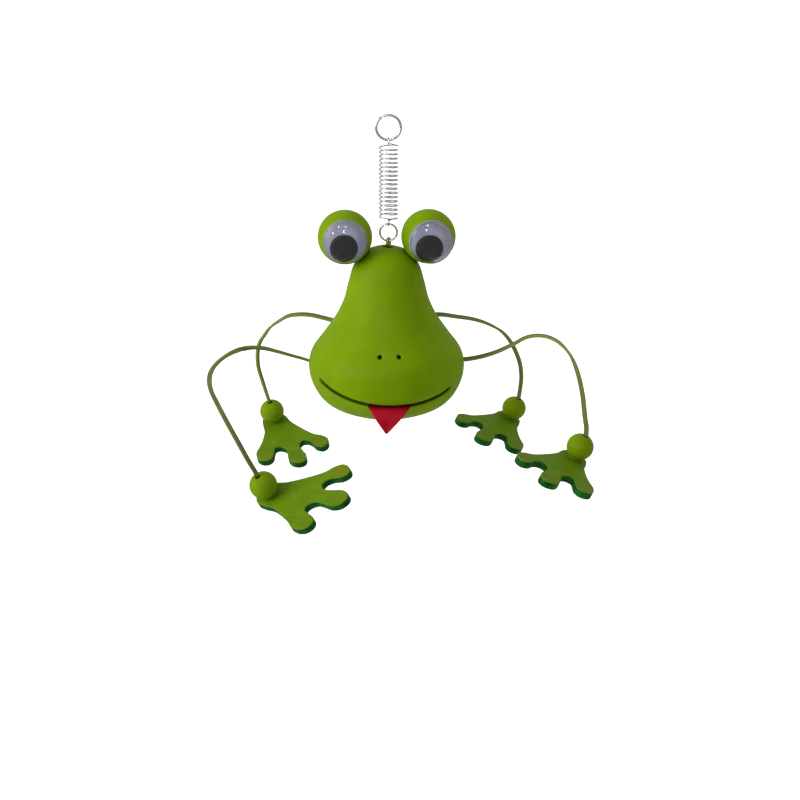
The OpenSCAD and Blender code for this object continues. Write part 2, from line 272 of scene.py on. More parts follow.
def make_world():
    """White to the camera. Its light is softer, and a little weaker from below and from the viewer."""
    world = bpy.data.worlds.new("studio")
    world.use_nodes = True
    tree = world.node_tree
    ground = tree.nodes["Background"]
    ground.inputs["Color"].default_value = (1, 1, 1, 1)
    place = add_node(tree, "TexCoord")
    split = add_node(tree, "SeparateXYZ", Vector=place.outputs["Generated"])
    both = add_node(tree, "Math")
    both.operation = "MULTIPLY"
    for socket, (way, low, high) in zip(both.inputs, (("Y", 0.53, 1.15), ("Z", 0.08, 0.66))):
        shade = add_node(
            tree, "MapRange", Value=split.outputs[way], From_Min=-1, To_Min=low, To_Max=high
        )
        tree.links.new(shade.outputs[0], socket)
    seen = add_node(tree, "LightPath").outputs["Is Camera Ray"]
    choice = add_node(tree, "Mix", Factor=seen, A=both.outputs[0], B=1)
    tree.links.new(choice.outputs[0], ground.inputs["Strength"])
    bpy.context.scene.world = world


def make_floor():
    """A wide pale floor well below the hanging frog."""
    half = 30
    level = -0.9
    mesh = bpy.data.meshes.new("floor")
    mesh.from_pydata(
        [(-half, -half, level), (half, -half, level), (half, half, level), (-half, half, level)],
        [],
        [(0, 1, 2, 3)],
    )
    floor = in_scene("floor", mesh)
    paint, tree, shader = new_material("floor_paint")
    shader.inputs["Base Color"].default_value = (0.75, 0.75, 0.75, 1)
    shader.inputs["Roughness"].default_value = 0.9
    shader.inputs["Specular IOR Level"].default_value = 0
    shader.inputs["Emission Color"].default_value = (1, 1, 1, 1)
    seen = add_node(tree, "LightPath").outputs["Is Camera Ray"]
    tree.links.new(seen, shader.inputs["Emission Strength"])
    mesh.materials.append(paint)


# ---- Materials ----


class Paint:
    """A procedural material: one Principled shader and helpers that add nodes to it."""

    def __init__(self, name, roughness, metallic=0.0, specular=0.5):
        self.material, self.tree, self.shader = new_material(name)
        self.shader.inputs["Roughness"].default_value = roughness
        self.shader.inputs["Metallic"].default_value = metallic
        self.shader.inputs["Specular IOR Level"].default_value = specular
        self.place = self.add("TexCoord").outputs["Object"]

    def add(self, kind, **inputs):
        return add_node(self.tree, kind, **inputs)

    def stretched(self, scale, turn=(0, 0, 0)):
        """Object coordinates turned and scaled, for patterns that are longer one way."""
        return self.add("Mapping", Vector=self.place, Rotation=turn, Scale=scale).outputs[0]

    def noise(self, scale, detail=2.0, roughness=0.5, distortion=0.0, vector=None):
        node = self.add(
            "TexNoise", Vector=vector or self.place, Scale=scale, Detail=detail,
            Roughness=roughness, Distortion=distortion,
        )
        return node.outputs["Fac"]

    def attribute(self, name, output="Fac"):
        node = self.add("Attribute")
        node.attribute_name = name
        return node.outputs[output]

    def attribute_vector(self, name, scale):
        """A vector attribute of the mesh, scaled, for patterns that follow a piece's own shape."""
        vector = self.attribute(name, "Vector")
        return self.add("Mapping", Vector=vector, Scale=scale).outputs[0]

    def curve(self, value, low, high, to_low=0.0, to_high=1.0):
        """value taken from low..high to to_low..to_high, smoothly and clamped."""
        node = self.add(
            "MapRange", Value=value, From_Min=low, From_Max=high, To_Min=to_low, To_Max=to_high
        )
        node.interpolation_type = "SMOOTHSTEP"
        return node.outputs[0]

    def maths(self, operation, a, b):
        node = self.add("Math")
        node.operation = operation
        for socket, value in zip(node.inputs, (a, b)):
            set_input(self.tree, socket, value)
        return node.outputs[0]

    def times(self, a, b):
        return self.maths("MULTIPLY", a, b)

    def mix(self, amount, a, b):
        """Colour a where amount is 0 and colour b where it is 1."""
        node = self.add("Mix", Factor=amount)
        node.data_type = "RGBA"
        for socket, value in ((node.inputs[6], a), (node.inputs[7], b)):
            set_input(self.tree, socket, (*value, 1) if isinstance(value, tuple) else value)
        return node.outputs[2]

    def colour(self, socket):
        set_input(self.tree, self.shader.inputs["Base Color"], socket)

    def roughness(self, pattern, smoothest, roughest):
        """Roughness that follows a noise pattern."""
        value = self.curve(pattern, 0.3, 0.7, smoothest, roughest)
        set_input(self.tree, self.shader.inputs["Roughness"], value)

    def bump(self, height, depth_mm, strength=1.0):
        """Adds relief: height 0..1 stands for depth_mm millimetres. Later calls add to earlier ones."""
        node = self.add("Bump", Height=height, Strength=strength, Distance=depth_mm * MM)
        normal = self.shader.inputs["Normal"]
        if normal.is_linked:
            set_input(self.tree, node.inputs["Normal"], normal.links[0].from_socket)
        set_input(self.tree, normal, node.outputs[0])


def leaf_paint(name, light, dark, grain_scale, grain_turn=(0, 0, 0)):
    """Satin leaf-green paint on turned wood: soft patches, faint grain, fine brush texture, chips and
    painted shade.
    """
    paint = Paint(name, 0.5, specular=0.06)
    patches = paint.noise(70, 3, 0.55)
    grain = paint.noise(1, 4, 0.6, 0.6, paint.stretched(grain_scale, grain_turn))
    flecks = paint.noise(900, 2, 0.6)
    blend = paint.curve(paint.maths("ADD", patches, paint.times(grain, 0.35)), 0.45, 0.95)
    tone = paint.mix(blend, dark, light)
    # Painted shade: the hollow attribute turns the paint a deep olive inside cuts and holes and next to
    # the eye balls.
    hollow = paint.attribute("hollow")
    tone = paint.mix(paint.curve(hollow, 0.0, 1.0, 0.0, 0.85), tone, (0.05, 0.075, 0.006))
    chips = paint.times(paint.attribute("chips"), paint.curve(flecks, 0.58, 0.66))
    tone = paint.mix(chips, tone, (0.55, 0.5, 0.2))
    paint.colour(tone)
    paint.roughness(patches, 0.4, 0.52)
    paint.bump(grain, 0.05, 0.5)
    paint.bump(flecks, 0.02, 0.35)
    return paint.material


def foot_paint():
    """Thin green paint on plywood: streaky grain, rubbed toe tips, dark emerald sawn edges."""
    paint = Paint("foot_paint", 0.55, specular=0.1)
    grain = paint.noise(1, 5, 0.65, 0.4, paint.attribute_vector("foot_place", (60, 700, 60)))
    patches = paint.noise(110, 3, 0.6)
    tone = paint.mix(paint.curve(patches, 0.35, 0.65), (0.135, 0.268, 0.001), (0.16, 0.31, 0.002))
    tone = paint.mix(paint.curve(grain, 0.42, 0.72, 0.0, 0.5), tone, (0.23, 0.35, 0.006))
    rubbed = paint.times(paint.attribute("toe_tip"), paint.curve(patches, 0.4, 0.62))
    tone = paint.mix(paint.times(rubbed, 0.7), tone, (0.26, 0.19, 0.012))
    side = paint.attribute("side")
    side_tone = paint.mix(
        paint.curve(paint.noise(260, 3, 0.6), 0.35, 0.65), (0.004, 0.07, 0.006), (0.012, 0.2, 0.022)
    )
    tone = paint.mix(paint.curve(side, 0.55, 0.8), tone, side_tone)
    rim = paint.times(paint.curve(side, 0.15, 0.45), paint.curve(side, 0.5, 0.75, 1.0, 0.0))
    tone = paint.mix(paint.times(rim, 0.5), tone, (0.2, 0.34, 0.05))
    paint.colour(tone)
    paint.roughness(grain, 0.42, 0.6)
    paint.bump(grain, 0.06, 0.6)
    paint.bump(paint.noise(1400, 2, 0.5), 0.02, 0.4)
    return paint.material


def lace_leather():
    """Flat olive leather lace: fibres along it and brighter, rougher cut edges."""
    paint = Paint("lace_leather", 0.62, specular=0.25)
    fibres = paint.noise(1, 3, 0.6, 0.2, paint.attribute_vector("lace_place", (90, 2200, 2200)))
    patches = paint.noise(180, 2, 0.5)
    tone = paint.mix(paint.curve(fibres, 0.35, 0.7), (0.13, 0.165, 0.045), (0.2, 0.24, 0.075))
    tone = paint.mix(paint.curve(patches, 0.4, 0.7, 0.0, 0.4), tone, (0.22, 0.29, 0.06))
    cut = paint.curve(paint.attribute("cut_edge"), 0.3, 0.8)
    tone = paint.mix(cut, tone, (0.25, 0.36, 0.05))
    paint.colour(tone)
    paint.roughness(fibres, 0.5, 0.75)
    paint.bump(fibres, 0.04, 0.6)
    paint.bump(paint.noise(2600, 2, 0.6), 0.02, 0.5)
    return paint.material


def tongue_leather():
    """Matte red leather with a fine grain, and a painted shadow where it goes into the mouth."""
    paint = Paint("tongue_leather", 0.6, specular=0.12)
    patches = paint.noise(160, 3, 0.6)
    grain = paint.noise(2400, 3, 0.6)
    tone = paint.mix(paint.curve(patches, 0.35, 0.68), (0.52, 0.001, 0.018), (0.66, 0.002, 0.026))
    cut = paint.curve(paint.attribute("cut_edge"), 0.2, 0.9, 0.0, 0.6)
    tone = paint.mix(cut, tone, (0.6, 0.04, 0.05))
    # Painted shadow: dark red where the tongue lies in under the upper lip.
    tone = paint.mix(paint.attribute("painted_lip_shadow"), tone, (0.16, 0.001, 0.006))
    paint.colour(tone)
    paint.roughness(grain, 0.45, 0.7)
    paint.bump(grain, 0.03, 0.6)
    paint.bump(patches, 0.12, 0.5)
    return paint.material


def eye_white():
    """Pale lavender plastic behind the dome, with painted streaks of reflection."""
    paint = Paint("eye_white", 0.35)
    # Painted reflection: long slanted streaks of lighter lavender, as the dome would mirror them; they
    # also vary the roughness.
    reflection_streaks = paint.noise(1, 3, 0.55, 0.3, paint.stretched((350, 60, 60), (0, math.radians(35), 0)))
    tone = paint.mix(paint.curve(reflection_streaks, 0.35, 0.68), (0.6, 0.6, 0.82), (0.78, 0.79, 0.93))
    paint.colour(tone)
    paint.roughness(reflection_streaks, 0.3, 0.45)
    return paint.material


def clear_dome():
    """Thin clear plastic: see-through, with a mirror gloss that grows towards its edge."""
    material, tree, shader = new_material("clear_dome")
    tree.nodes.remove(shader)
    through = add_node(tree, "BsdfTransparent", Color=(0.97, 0.97, 0.98, 1))
    gloss = add_node(tree, "BsdfGlossy", Roughness=0.04)
    edge = add_node(tree, "Fresnel", IOR=1.3)
    join = add_node(tree, "MixShader")
    for socket, node in zip(join.inputs, (edge, through, gloss)):
        tree.links.new(node.outputs[0], socket)
    tree.links.new(join.outputs[0], tree.nodes["Material Output"].inputs["Surface"])
    return material


def pupil_black():
    """Matte black plastic with faint dust."""
    paint = Paint("pupil_black", 0.5, specular=0.4)
    dust = paint.noise(700, 3, 0.7)
    paint.colour(paint.mix(paint.curve(dust, 0.5, 0.8), (0.014, 0.014, 0.013), (0.035, 0.035, 0.032)))
    paint.roughness(dust, 0.42, 0.6)
    return paint.material


def wire_metal(name, dark, light, roughness):
    """Drawn or plated wire: fine draw marks and small changes of tone."""
    paint = Paint(name, roughness, metallic=1.0)
    marks = paint.noise(1300, 3, 0.6)
    paint.colour(paint.mix(paint.curve(marks, 0.35, 0.7), dark, light))
    paint.roughness(marks, roughness * 0.8, roughness * 1.3)
    paint.bump(marks, 0.01, 0.3)
    return paint.material


def bare_wood():
    """Bare dowel wood with long grain."""
    paint = Paint("bare_wood", 0.6)
    grain = paint.noise(1, 4, 0.6, 0.5, paint.stretched((150, 900, 900), (0, math.radians(45), 0)))
    paint.colour(paint.mix(paint.curve(grain, 0.35, 0.7), (0.42, 0.27, 0.13), (0.62, 0.45, 0.26)))
    paint.roughness(grain, 0.5, 0.7)
    paint.bump(grain, 0.05, 0.5)
    return paint.material


# ---- Mesh building ----


def add_piece(name, points, faces, material, body, replaces, attributes=None):
    """A mesh object from points in millimetres, riding on a CAD body in place of CAD nodes."""
    mesh = bpy.data.meshes.new(name)
    mesh.from_pydata((np.asarray(points, float) * MM).tolist(), [], faces)
    mesh.validate()
    for key, values in (attributes or {}).items():
        values = np.asarray(values, np.float32)
        kind, field = ("FLOAT", "value") if values.ndim == 1 else ("FLOAT_VECTOR", "vector")
        mesh.attributes.new(key, kind, "POINT").data.foreach_set(field, values.ravel())
    mesh.shade_smooth()
    mesh.materials.append(material)
    piece = in_scene(name, mesh)
    if body:
        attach(piece, body)
    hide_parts(*replaces)
    return piece


def moved(points, matrix):
    """Points moved by a 4x4 matrix."""
    m = np.array(matrix)
    return np.asarray(points, float) @ m[:3, :3].T + m[:3, 3]


def smooth_line(points, steps, closed=False):
    """Points on the smooth curve that passes through the given points."""
    p = np.asarray(points, float)
    if closed:
        a, b, c, d = np.roll(p, 1, 0), p, np.roll(p, -1, 0), np.roll(p, -2, 0)
    else:
        p = np.vstack([2 * p[0] - p[1], p, 2 * p[-1] - p[-2]])
        a, b, c, d = p[:-3], p[1:-2], p[2:-1], p[3:]
    t = np.linspace(0, 1, steps, endpoint=False)[None, :, None]
    a, b, c, d = (x[:, None, :] for x in (a, b, c, d))
    line = 0.5 * (
        2 * b
        + (c - a) * t
        + (2 * a - 5 * b + 4 * c - d) * t**2
        + (3 * b - a - 3 * c + d) * t**3
    )
    line = line.reshape(-1, p.shape[1])
    return line if closed else np.vstack([line, p[-2]])


def unit(v):
    v = np.asarray(v, float)
    return v / np.maximum(np.linalg.norm(v, axis=-1, keepdims=True), 1e-12)


def headings(line, closed=False):
    """The direction of travel at each point of a line."""
    if closed:
        return unit(np.roll(line, -1, 0) - np.roll(line, 1, 0))
    return unit(np.gradient(line, axis=0))


def carried(line, first):
    """Side vectors along a line, starting near first and carried along without twist."""
    along = headings(line)
    side = unit(first - along[0] * np.dot(first, along[0]))
    sides = [side]
    for t in along[1:]:
        side = unit(side - t * np.dot(side, t))
        sides.append(side)
    return np.array(sides)


def tube_faces(rings, size, capped=True):
    """Quads between rings of size points each, and a face over each end if capped."""
    faces = []
    for here in range(0, (rings - 1) * size, size):
        faces += [
            (here + j, here + size + j, here + size + (j + 1) % size, here + (j + 1) % size)
            for j in range(size)
        ]
    if capped:
        faces.append(tuple(range(size)))
        faces.append(tuple((rings - 1) * size + j for j in reversed(range(size))))
    return faces


def sweep(line, sides, section):
    """A capped tube: each ring holds the section's points, [along the side vector, across it]."""
    across = np.cross(headings(line), sides)
    section = np.asarray(section, float)
    if section.ndim == 2:
        section = np.repeat(section[None], len(line), 0)
    rings = (
        line[:, None, :]
        + section[:, :, :1] * sides[:, None, :]
        + section[:, :, 1:] * across[:, None, :]
    )
    return rings.reshape(-1, 3), tube_faces(*section.shape[:2])


def circle(radius, sides):
    turn = np.linspace(0, 2 * math.pi, sides, endpoint=False)
    return radius * np.stack([np.cos(turn), np.sin(turn)], 1)


def arc(centre, radius, start, end, steps):
    """Points on an arc, [radius, height], with angles in degrees."""
    turn = np.radians(np.linspace(start, end, steps))
    return np.stack([centre[0] + radius * np.cos(turn), centre[1] + radius * np.sin(turn)], 1)


def turned(outline, segments, loop=False):
    """A form turned about +Z from [radius, height] points; with loop, the last joins the first."""
    turn = np.linspace(0, 2 * math.pi, segments, endpoint=False)
    points, rings = [], []
    for radius, height in outline:
        count = segments if radius > 1e-6 else 1
        rings.append([len(points) + j % count for j in range(segments)])
        points += [(radius * math.cos(t), radius * math.sin(t), height) for t in turn[:count]]
    faces = []
    for here, after in zip(rings, rings[1:] + (rings[:1] if loop else [])):
        for j in range(segments):
            k = (j + 1) % segments
            faces.append(tuple(dict.fromkeys((here[j], here[k], after[k], after[j]))))
    return np.array(points), faces


# ---- Carved forms: the level surface of a field, for shapes with soft-edged cuts ----


def soft_cut(form, cutter, softness):
    """form with cutter taken away, and an edge rounded by about half of softness."""
    cut = -cutter
    near = np.maximum(softness - np.abs(form - cut), 0) / softness
    return np.maximum(form, cut) + near * near * softness / 4


def level_mesh(field, low, high, step):
    """A closed mesh of quads on the zero level of field(x, y, z), negative inside."""
    axes = [np.arange(a, b + step, step, dtype=np.float32) for a, b in zip(low, high)]
    value = field(*np.meshgrid(*axes, indexing="ij"))
    inside = value < 0
    corners = [np.array((i, j, k)) for i in (0, 1) for j in (0, 1) for k in (0, 1)]
    shape = np.array(value.shape) - 1
    count = sum(
        inside[tuple(slice(o, o + n) for o, n in zip(c, shape))].astype(np.int8) for c in corners
    )
    cell = np.argwhere((count > 0) & (count < 8))
    index = np.full(shape, -1, np.int64)
    index[tuple(cell.T)] = np.arange(len(cell))
    total = np.zeros((len(cell), 3))
    hits = np.zeros(len(cell))
    for a in corners:
        for way in range(3):
            if a[way]:
                continue
            b = a.copy()
            b[way] = 1
            here = value[tuple((cell + a).T)]
            there = value[tuple((cell + b).T)]
            crossed = (here < 0) != (there < 0)
            share = here / np.where(crossed, here - there, 1)
            total += crossed[:, None] * (a + share[:, None] * (b - a))
            hits += crossed
    points = np.asarray(low) + (cell + total / hits[:, None]) * step
    quads = []
    steps = np.eye(3, dtype=int)
    for way in range(3):
        u, v, ahead = steps[(way + 1) % 3], steps[(way + 2) % 3], steps[way]
        trimmed = inside[tuple(slice(0, -1) if i == way else slice(1, -1) for i in range(3))]
        shifted = inside[tuple(slice(1, None) if i == way else slice(1, -1) for i in range(3))]
        at = np.argwhere(trimmed != shifted) + 1 - ahead
        ring = np.stack([index[tuple((at - s).T)] for s in (u + v, v, 0 * u, u)], 1)
        outward = trimmed[tuple((at - 1 + ahead).T)]
        quads.append(np.where(outward[:, None], ring, ring[:, ::-1]))
    return points, np.vstack(quads)


def settled(points, field, rounds=4):
    """Points moved onto the zero level of field along its slope."""
    reach = 0.02
    longest = 0.25
    for _ in range(rounds):
        value = field(*points.T)
        slope = np.stack(
            [
                (field(*(points + reach * e).T) - field(*(points - reach * e).T)) / (2 * reach)
                for e in np.eye(3)
            ],
            1,
        )
        move = -value[:, None] * slope / np.maximum((slope**2).sum(1), 1e-6)[:, None]
        length = np.linalg.norm(move, axis=1, keepdims=True)
        points = points + move * np.minimum(1, longest / np.maximum(length, 1e-9))
    return points


class TurnedField:
    """Signed distance to a form turned about +Z, read from a table of radius and height."""

    def __init__(self, outline, steps=24, grid=0.25, margin=5):
        line = smooth_line(outline, steps)
        mirrored = line[::-1] * [-1, 1]
        loop = np.vstack([line, mirrored[1:-1]])
        self.grid = grid
        self.low = np.array([-1.0, line[:, 1].min() - margin])
        radius = np.arange(self.low[0], line[:, 0].max() + margin, grid)
        height = np.arange(self.low[1], line[:, 1].max() + margin, grid)
        r, z = np.meshgrid(radius, height, indexing="ij")
        best = np.full(r.shape, 1e9)
        for a, b in zip(loop, np.roll(loop, -1, 0)):
            d = b - a
            t = np.clip(((r - a[0]) * d[0] + (z - a[1]) * d[1]) / (d @ d), 0, 1)
            away = (r - a[0] - t * d[0]) ** 2 + (z - a[1] - t * d[1]) ** 2
            best = np.minimum(best, away)
        wall = np.interp(z, line[:, 1], line[:, 0], left=-1, right=-1)
        self.table = (np.sqrt(best) * np.where(np.abs(r) < wall, -1, 1)).astype(np.float32)

    def __call__(self, x, y, z, smooth=False):
        r = np.hypot(x, y)
        u = (r - self.low[0]) / self.grid
        v = (z - self.low[1]) / self.grid
        i = np.clip(u.astype(int), 1, self.table.shape[0] - 3)
        j = np.clip(v.astype(int), 1, self.table.shape[1] - 3)
        s, t = np.clip(u - i, 0, 1), np.clip(v - j, 0, 1)
        if not smooth:
            at = self.table
            return (
                (at[i, j] * (1 - t) + at[i, j + 1] * t) * (1 - s)
                + (at[i + 1, j] * (1 - t) + at[i + 1, j + 1] * t) * s
            )
        total = 0
        for a, wa in zip(range(-1, 3), cubic(s)):
            total = total + wa * sum(
                wb * self.table[i + a, j + b] for b, wb in zip(range(-1, 3), cubic(t))
            )
        return total


def cubic(t):
    """Weights of four neighbours for smooth reading between the middle two."""
    return (
        0.5 * (-t + 2 * t**2 - t**3),
        0.5 * (2 - 5 * t**2 + 3 * t**3),
        0.5 * (t + 4 * t**2 - 3 * t**3),
        0.5 * (-(t**2) + t**3),
    )


# ---- Hanging gear ----


def ring_piece(name, body, node, material):
    """A ring bent from wire, with the fine gap where its ends meet."""
    low, high = node_box(node)
    wire = high[1] - low[1]
    centre = (low + high) / 2
    radius = (high[0] - low[0] - wire) / 2
    gap = math.radians(2.2)
    start = math.radians(118)
    turn = np.linspace(start + gap, start + 2 * math.pi - gap, 97)
    line = centre + radius * np.stack([np.cos(turn), 0 * turn, np.sin(turn)], 1)
    section = np.repeat(circle(wire / 2, 16)[None], len(line), 0)
    section[[0, -1]] *= 0.86
    sides = np.repeat([[0.0, 1.0, 0.0]], len(line), 0)
    points, faces = sweep(line, sides, section)
    add_piece(name, points, faces, material, body, [node])


def hook_line(level, hook_r):
    """The hook at a coil's end, for an end that comes from +X and runs towards +Y and down."""
    turns = np.radians(np.arange(45, 226, 22.5))
    bend = np.stack([0 * turns, hook_r * np.cos(turns), level - hook_r * np.sin(turns)], 1)
    return np.vstack([
        [[3.1, 1.4, level + 1.5], [1.3, 2, level + 0.9], [0, hook_r, level]],
        bend,
        [[0, -0.3, level + hook_r - 0.05]],
    ])


def spring_piece(material):
    """The coil with a hook at each end. It stretches between the two bodies that it joins."""
    low, high = node_box("bounce_spring")
    wire = 0.62
    coil_r = 3.975
    pitch = 1.9
    turns = 17
    hook_r = 1.5
    hook_drop = 1.9
    steps = 36
    middle = (low[2] + high[2]) / 2
    half = turns * pitch / 2
    turn = np.arange(turns * steps + 1) / steps
    angle = 2 * math.pi * turn
    coil = np.stack([coil_r * np.cos(angle), coil_r * np.sin(angle), half - pitch * turn], 1)
    end = hook_line(-half - hook_drop, hook_r)
    run = smooth_line(np.vstack([coil[-1] + [0, -2, 0.3], coil[-1], end]), 6)[6:]
    line = np.vstack([run[:0:-1] * [1, -1, -1], coil, run[1:]]) + [0, 0, middle]
    points, faces = sweep(line, carried(line, np.array([0.0, 0, 1])), circle(wire / 2, 12))
    spring = add_piece(
        "bounce_spring_wire", points, faces, material, None, ["bounce_spring"]
    )
    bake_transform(spring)


def screw_eye_piece(material):
    """A wire eye on a threaded shank, its loop's end stopping just short of the shank."""
    low, high = node_box("screw_eye")
    wire = high[0] - low[0]
    loop_r = (high[1] - low[1] - wire) / 2
    centre = np.array([0, 0, high[2] - wire / 2 - loop_r])
    shank = low[2] - centre[2]
    neck = -loop_r - 0.55
    turn = np.radians(np.linspace(-62, 262, 60))
    loop = np.stack([0 * turn, loop_r * np.cos(turn), loop_r * np.sin(turn)], 1)
    stem = np.array([[0, 0, z] for z in np.linspace(shank, neck, 90)])
    flat_line = np.vstack([stem, [[0, 0.35, -loop_r - 0.2]], loop])
    side_turn = math.radians(17)
    line = centre + flat_line[:, 1:2] * [math.sin(side_turn), math.cos(side_turn), 0]
    line[:, 2] += flat_line[:, 2]
    sides = carried(line, np.array([math.cos(side_turn), -math.sin(side_turn), 0]))
    k = 16
    section = np.repeat(circle(wire / 2, k)[None], len(line), 0)
    thread_top = -loop_r - 1.6
    thread_pitch = 0.8
    depth = 0.16
    lathe_turn = np.arange(k) / k
    for i, place in enumerate(stem[:, 2]):
        if place < thread_top:
            wave = (place / thread_pitch - lathe_turn) % 1
            ridge = 1 - np.abs(2 * wave - 1)
            taper = min(1, (place - shank) / 2.5 + 0.1)
            section[i] *= ((0.8 - depth + depth * ridge) * taper / (wire / 2))[:, None]
        elif place < thread_top + 0.5:
            section[i] *= 0.8 / (wire / 2)
    section[-1] *= 0.7
    points, faces = sweep(line, sides, section)
    add_piece("screw_eye_wire", points, faces, material, "frog", ["screw_eye"])


# ---- Body, mouth and tongue ----


def body_field():
    """The body as a field in millimetres above its widest level, with its cuts."""
    turned_form = TurnedField(BODY_OUTLINE)
    slope_c, slope_s = math.cos(MOUTH_SLOPE), math.sin(MOUTH_SLOPE)
    roll_c, roll_s = math.cos(MOUTH_ROLL), math.sin(MOUTH_ROLL)
    turn_c, turn_s = math.cos(MOUTH_TURN), math.sin(MOUTH_TURN)
    half_cut = MOUTH_CUT / 2
    nostril_depth = 2.6
    lace_hole_depth = 5
    balls = [BALL_AT * [sign, 1, 1] for sign in (-1, 1)]

    def mouth(x, y, z):
        x, y, z = x - MOUTH_FRONT[0], y - MOUTH_FRONT[1], z - MOUTH_FRONT[2]
        x, z = roll_c * x - roll_s * z, roll_s * x + roll_c * z
        deep = turn_s * x + turn_c * (slope_c * y + slope_s * z)
        up = -slope_s * y + slope_c * z
        return np.hypot(np.maximum(deep - MOUTH_DEPTH + half_cut, 0), up) - half_cut

    def drilled(x, y, z, mouth_of_hole, way, radius, depth):
        """A blind drilled hole: distance to a cylinder that starts in the open."""
        dx, dy, dz = x - mouth_of_hole[0], y - mouth_of_hole[1], z - mouth_of_hole[2]
        along = dx * way[0] + dy * way[1] + dz * way[2]
        away = np.sqrt(np.maximum(dx * dx + dy * dy + dz * dz - along * along, 0))
        return np.maximum(away - radius, -along - depth)

    def field(x, y, z, smooth=False):
        value = soft_cut(turned_form(x, y, z, smooth), mouth(x, y, z), 0.5)
        for sign in (-1, 1):
            tilted = [0, -math.cos(NOSTRIL_TILT), math.sin(NOSTRIL_TILT)]
            turned_out = [sign * math.cos(BACK_HOLE_TURN), math.sin(BACK_HOLE_TURN), 0]
            for hole, way, radius, depth in (
                (NOSTRIL, tilted, NOSTRIL_D / 2, nostril_depth),
                (SIDE_HOLE, [sign, 0, 0], LACE_HOLE_D / 2, lace_hole_depth),
                (BACK_HOLE, turned_out, LACE_HOLE_D / 2, lace_hole_depth),
            ):
                cut = drilled(x, y, z, hole * [sign, 1, 1], way, radius, depth)
                value = soft_cut(value, cut, 0.35)
        top = BODY_RISE - TOP_HOLLOW_DEPTH + TOP_HOLLOW_R
        hollow = np.sqrt((x - SCREW_EYE_X) ** 2 + y**2 + (z - top) ** 2) - TOP_HOLLOW_R
        value = soft_cut(value, hollow, 0.6)
        for ball in balls:
            seat = np.sqrt((x - ball[0]) ** 2 + (y - ball[1]) ** 2 + (z - ball[2]) ** 2)
            value = soft_cut(value, seat - BALL_D / 2 - 0.05, 0.15)
        return value

    return field, turned_form, mouth


def body_piece(material):
    """The turned body with its mouth, nostrils, lace holes and ball seats."""
    field, turned_form, mouth = body_field()
    step = 0.52
    margin = 0.9
    reach = (BODY_HIGH[0] - BODY_LOW[0]) / 2 + margin
    low = [-reach, -reach, -BODY_UNDER - margin]
    high = [reach, reach, BODY_HIGH[2] - WIDEST + margin]
    points, faces = level_mesh(field, low, high, step)
    points = settled(points, lambda x, y, z: field(x, y, z, True))
    # Painted shade: hollow is strongest deep in the mouth slot, nostrils, lace holes and top hollow,
    # and next to where the eye balls sit on the body.
    depth = -turned_form(*points.T)
    shade_reach = 2.6
    hollow = np.clip((depth - 0.12) / 0.9, 0, 1)
    for sign in (-1, 1):
        away = np.linalg.norm(points - BALL_AT * [sign, 1, 1], axis=1) - BALL_D / 2
        hollow = np.maximum(hollow, 0.8 * np.clip(1 - away / shade_reach, 0, 1) ** 2)
    # The paint is chipped on the lips, most of all near the middle of the mouth.
    lip = np.abs(mouth(*points.T)) < 0.6
    centre_lip = np.clip(1 - np.abs(points[:, 0] - 1) / 7, 0, 1)
    chips = lip * centre_lip * (points[:, 1] < -20) * (depth < 0.5)
    add_piece(
        "turned_body", points + BODY_CENTRE, faces.tolist(), material, "frog", ["body"],
        {"hollow": hollow, "chips": chips},
    )


def tongue_piece(material):
    """A strip of leather cut to a point, hanging out of the mouth with a faint crease."""
    line = smooth_line(TONGUE_LINE, 8)
    line = np.stack([0 * line[:, 0], line[:, 0], line[:, 1]], 1)
    along = headings(line)
    out = np.cross([1.0, 0, 0], along)
    share = np.clip((line[:, 2] - TONGUE_TIP) / (TONGUE_ROOT - TONGUE_TIP), 0, 1)
    half = (0.6 + (TONGUE_W / 2 - 0.6) * share)[:, None]
    middle = (TONGUE_TIP_X * (1 - share))[:, None]
    section = rounded_strip(2.0, TONGUE_T, 0.28, 22)
    edge = np.abs(section[:, 0])
    crease = 0.22 * np.exp(-((section[:, 0] / 0.22) ** 2))
    curl = 0.5 * section[:, 0] ** 2
    # The crease and the curl start at the lower lip and are full 6 mm below it.
    free = np.clip((-9.5 - line[:, 2]) / 6, 0, 1)[:, None]
    lift = (section[:, 1] + (curl - crease) * free)[:, :, None]
    points = (
        line[:, None, :]
        + (middle + half * section[:, 0])[:, :, None] * np.array([1.0, 0, 0])
        - lift * out[:, None, :]
    ).reshape(-1, 3)
    n = len(line)
    faces = [tuple(reversed(f)) for f in tube_faces(n, len(section))]
    roll = Matrix.Translation(Vector(BODY_CENTRE)) @ Matrix.Rotation(MOUTH_ROLL, 4, "Y")
    cut_edge = np.tile(np.clip((edge - 0.94) / 0.06, 0, 1), n)
    # Painted shadow of the upper lip: 1 inside the mouth, fading out just past the lip.
    painted_lip_shadow = np.clip((points[:, 1] + 34.4) / 1.6, 0, 1)
    tongue = add_piece(
        "tongue_strip", moved(points, roll), faces, material, "frog", ["tongue"],
        {"cut_edge": cut_edge, "painted_lip_shadow": painted_lip_shadow},
    )


def rounded_strip(width, thickness, corner, per_side):
    """The section of a flat strip with rounded corners, per_side points along each flat."""
    half_w, half_t = width / 2, thickness / 2
    flat = np.linspace(-half_w + corner, half_w - corner, per_side)
    turn = np.radians([-67.5, -45, -22.5, 0, 22.5, 45, 67.5])
    right = np.stack([
        half_w - corner + corner * np.cos(turn),
        np.sin(turn) * corner + np.sign(turn) * (half_t - corner),
    ], 1)
    bottom = np.stack([flat, np.full(per_side, -half_t)], 1)
    return np.vstack([bottom, right, -bottom, -right])


# ---- Eyes ----


